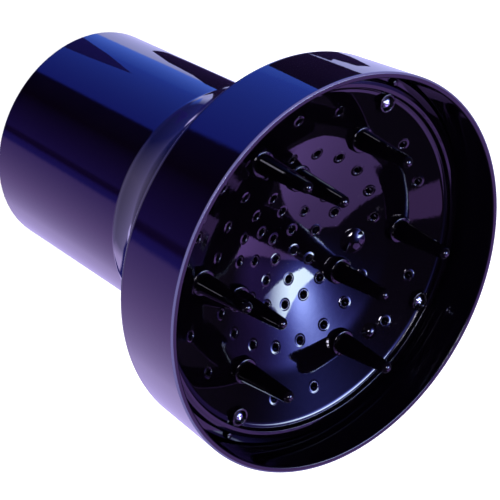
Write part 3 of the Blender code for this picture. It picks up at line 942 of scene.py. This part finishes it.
def high_sky(sky):
    """What the dish, the fingers and the edges show: a dark room with screens, glows and lamps."""
    high = ROOM_DARK
    for _, corners, softness, colour in PANELS:
        high = sky.mix(sky.panel(corners, softness), high, (*colour, 1.0))
    for azimuth, elevation, spread, colour in GLOWS:
        high = sky.mix(sky.glow(azimuth, elevation, spread), high, (*colour, 1.0))
    for _, corners, softness, dim, bright, low_end, high_end in LAMPS:
        rise = sky.remap(sky.z, towards(0, low_end).z, towards(0, high_end).z, 0.0, 1.0)
        shine = sky.mix(rise, (*dim, 1.0), (*bright, 1.0))
        high = sky.mix(sky.panel(corners, softness), high, shine)
    return high


def make_world():
    """The world: the sky in the gloss, soft white light for all else and a white background."""
    world = bpy.data.worlds.new("studio")
    bpy.context.scene.world = world
    world.use_nodes = True
    world.cycles.sampling_method = "NONE"
    tree = world.node_tree
    tree.nodes.clear()
    sky = Sky(tree)
    seen_in_gloss = sky.mix(sky.step(sky.z, 0.0, HORIZON_SOFT), low_sky(sky), high_sky(sky))
    path = sky.node("ShaderNodeLightPath")
    soft_white = sky.mix(path.outputs["Is Camera Ray"], (1.25, 1.25, 1.25, 1.0), (1.0, 1.0, 1.0, 1.0))
    background = sky.node("ShaderNodeBackground")
    sky.link(sky.mix(path.outputs["Is Glossy Ray"], soft_white, seen_in_gloss), background.inputs["Color"])
    sky.link(background.outputs[0], sky.node("ShaderNodeOutputWorld").inputs[0])


def make_floor():
    """A plain pale floor just under the collar, which lights itself a little and isn't seen in the gloss."""
    floor_r = 6.0
    gap_under = 0.2 * MM
    bm = bmesh.new()
    bmesh.ops.create_circle(bm, cap_ends=True, segments=96, radius=floor_r)
    bmesh.ops.translate(bm, vec=(0.0, 0.0, -gap_under), verts=bm.verts)
    mesh = bpy.data.meshes.new("floor")
    bm.to_mesh(mesh)
    bm.free()
    floor = bpy.data.objects.new("floor", mesh)
    bpy.context.scene.collection.objects.link(floor)
    mat, graph, shader, coords = new_material("pale_floor")
    patches = graph.noise(coords, scale=3.0, detail=3.0)
    tone = graph.mix(patches, (0.86, 0.86, 0.87, 1.0), (0.9, 0.9, 0.9, 1.0))
    graph.link(tone, shader.inputs["Base Color"])
    shader.inputs["Roughness"].default_value = 0.9
    shader.inputs["Specular IOR Level"].default_value = 0.0
    shader.inputs["Emission Color"].default_value = (1.0, 1.0, 1.0, 1.0)
    shader.inputs["Emission Strength"].default_value = 0.6
    mesh.materials.append(mat)
    floor.visible_glossy = False
    floor.visible_shadow = False


# where the camera stands: before the mouth and to one side, at a distance counted in lip radii
CAMERA_BACK = towards(0.0, 41.73)
CAMERA_DISTANCE = 16.0
CAMERA_SPOT = Vector((0.0, 0.0, LIP_Z)) * MM + CAMERA_BACK * CAMERA_DISTANCE * LIP_R * MM

# how it is turned and aimed: its roll, its lens, and how far left of and above the lip's middle it looks
CAMERA_ROLL = 118.9
CAMERA_LENS = 247.8
AIM_LEFT = 33.6
AIM_UP = 9.6

# dark flags that the camera sees mirrored in a wall: the name, the wall, the cloth, and the corners of the
# dark patch on the wall as (azimuth, height). A wall is given by its two ends as (radius, height).
BOWL_WALL = ((BOWL_REAR_R, BOWL_REAR_Z), (LIP_R, LIP_Z))
COLLAR_WALL = ((COLLAR_REAR_R, 0.0), COLLAR_FRONT)
FLAG_REACH = 60.0
FLAGS = (
    ("bowl_flag", BOWL_WALL, "black", ((-45.5, 119), (-43, 158), (-58, 158), (-59.5, 119))),
    ("bowl_flag_low", BOWL_WALL, "black", ((-59.4, 119), (-59.6, 136), (-70, 132), (-70.5, 119))),
    ("bowl_flag_slip", BOWL_WALL, "black", ((-61.5, 134), (-62.5, 146), (-66, 148), (-70.3, 130))),
    ("collar_flag", COLLAR_WALL, "black", ((-67, 27), (-62, 42), (-60, 60), (-57, 70), (-57, 79), (-78, 79),
                                           (-78.5, 40), (-77, 28))),
    ("collar_flag_rear", COLLAR_WALL, "navy", ((-50, -4), (-36.5, -4), (-37.5, 16), (-40, 42), (-45, 22))),
)


def mirrored_spot(wall, azimuth, height):
    """The point that the camera sees mirrored at a place on a tapered wall, a fixed reach away from it."""
    (low_r, low_z), (high_r, high_z) = wall
    radius = low_r + (high_r - low_r) * (height - low_z) / (high_z - low_z)
    outward = towards(azimuth, -math.degrees(math.atan2(high_r - low_r, high_z - low_z)))
    spot = polar(azimuth, radius, height)
    return spot + (spot - CAMERA_SPOT).normalized().reflect(outward) * FLAG_REACH * MM


def flag_cloth(name, dark, light):
    """A dull cloth that gives off its own even, dark colour."""
    mat, graph, shader, coords = new_material(name)
    cloth = graph.mix(graph.noise(coords, scale=40.0, detail=3.0), (*dark, 1.0), (*light, 1.0))
    graph.link(cloth, shader.inputs["Emission Color"])
    shader.inputs["Emission Strength"].default_value = 1.0
    shader.inputs["Base Color"].default_value = (0.0, 0.0, 0.0, 1.0)
    shader.inputs["Specular IOR Level"].default_value = 0.0
    return mat


def make_flags():
    """The flags, which are there for the gloss alone."""
    cloths = {
        "black": flag_cloth("flag_black", (0.02, 0.01, 0.06), (0.035, 0.02, 0.1)),
        "navy": flag_cloth("flag_navy", (0.04, 0.03, 0.4), (0.07, 0.06, 0.6)),
    }
    for name, wall, cloth, corners in FLAGS:
        mesh = bpy.data.meshes.new(name)
        mesh.from_pydata([mirrored_spot(wall, *corner) for corner in corners], [], [range(len(corners))])
        mesh.materials.append(cloths[cloth])
        flag = bpy.data.objects.new(name, mesh)
        bpy.context.scene.collection.objects.link(flag)
        flag.visible_camera = False
        flag.visible_diffuse = False
        flag.visible_transmission = False
        flag.visible_shadow = False


def make_camera():
    """The photo's view, rolled so that the collar points up and to the left."""
    roll = math.radians(CAMERA_ROLL)
    level = Vector((0.0, 1.0, 0.0))
    upright = CAMERA_BACK.cross(level)
    right = level * math.cos(roll) + upright * math.sin(roll)
    up = CAMERA_BACK.cross(right)
    aim = Vector((0.0, 0.0, LIP_Z)) * MM - right * AIM_LEFT * MM + up * AIM_UP * MM
    look = (aim - CAMERA_SPOT).normalized()
    side = look.cross(up).normalized()
    top = side.cross(look)
    data = bpy.data.cameras.new("camera")
    data.sensor_width = 36.0
    data.lens = CAMERA_LENS
    data.clip_start = 0.05
    data.clip_end = 20.0
    camera = bpy.data.objects.new("camera", data)
    camera.matrix_world = Matrix.Translation(CAMERA_SPOT) @ Matrix((side, top, -look)).transposed().to_4x4()
    bpy.context.scene.collection.objects.link(camera)
    bpy.context.scene.camera = camera


def main():
    bpy.context.scene.view_settings.view_transform = "Standard"
    shell = gloss_plastic("blue_black_gloss", (0.0007, 0.0003, 0.0016), (0.0013, 0.0007, 0.003), 0.03)
    dish = gloss_plastic("dish_gloss_black", (0.0007, 0.0003, 0.0014), (0.0013, 0.0007, 0.0025), 0.03)
    finger = gloss_plastic("finger_gloss_black", (0.0006, 0.0003, 0.0012), (0.0012, 0.0006, 0.002), 0.05)
    metal = bright_metal("plated_steel")
    ring = matt_plastic("ring_matt_black", (0.012, 0.012, 0.014), (0.02, 0.02, 0.023), 0.42, 2200.0, 0.25)
    soft = matt_plastic("tab_soft_black", (0.018, 0.018, 0.02), (0.03, 0.03, 0.034), 0.62, 3200.0, 0.35)
    make_housing(shell)
    make_bowl(shell)
    make_pillars(shell)
    make_dish(dish)
    make_fingers(finger)
    make_screws(metal)
    dress("grip_ring", ring)
    for name in TABS:
        dress(name, soft)
    make_world()
    make_floor()
    make_flags()
    make_camera()


main()
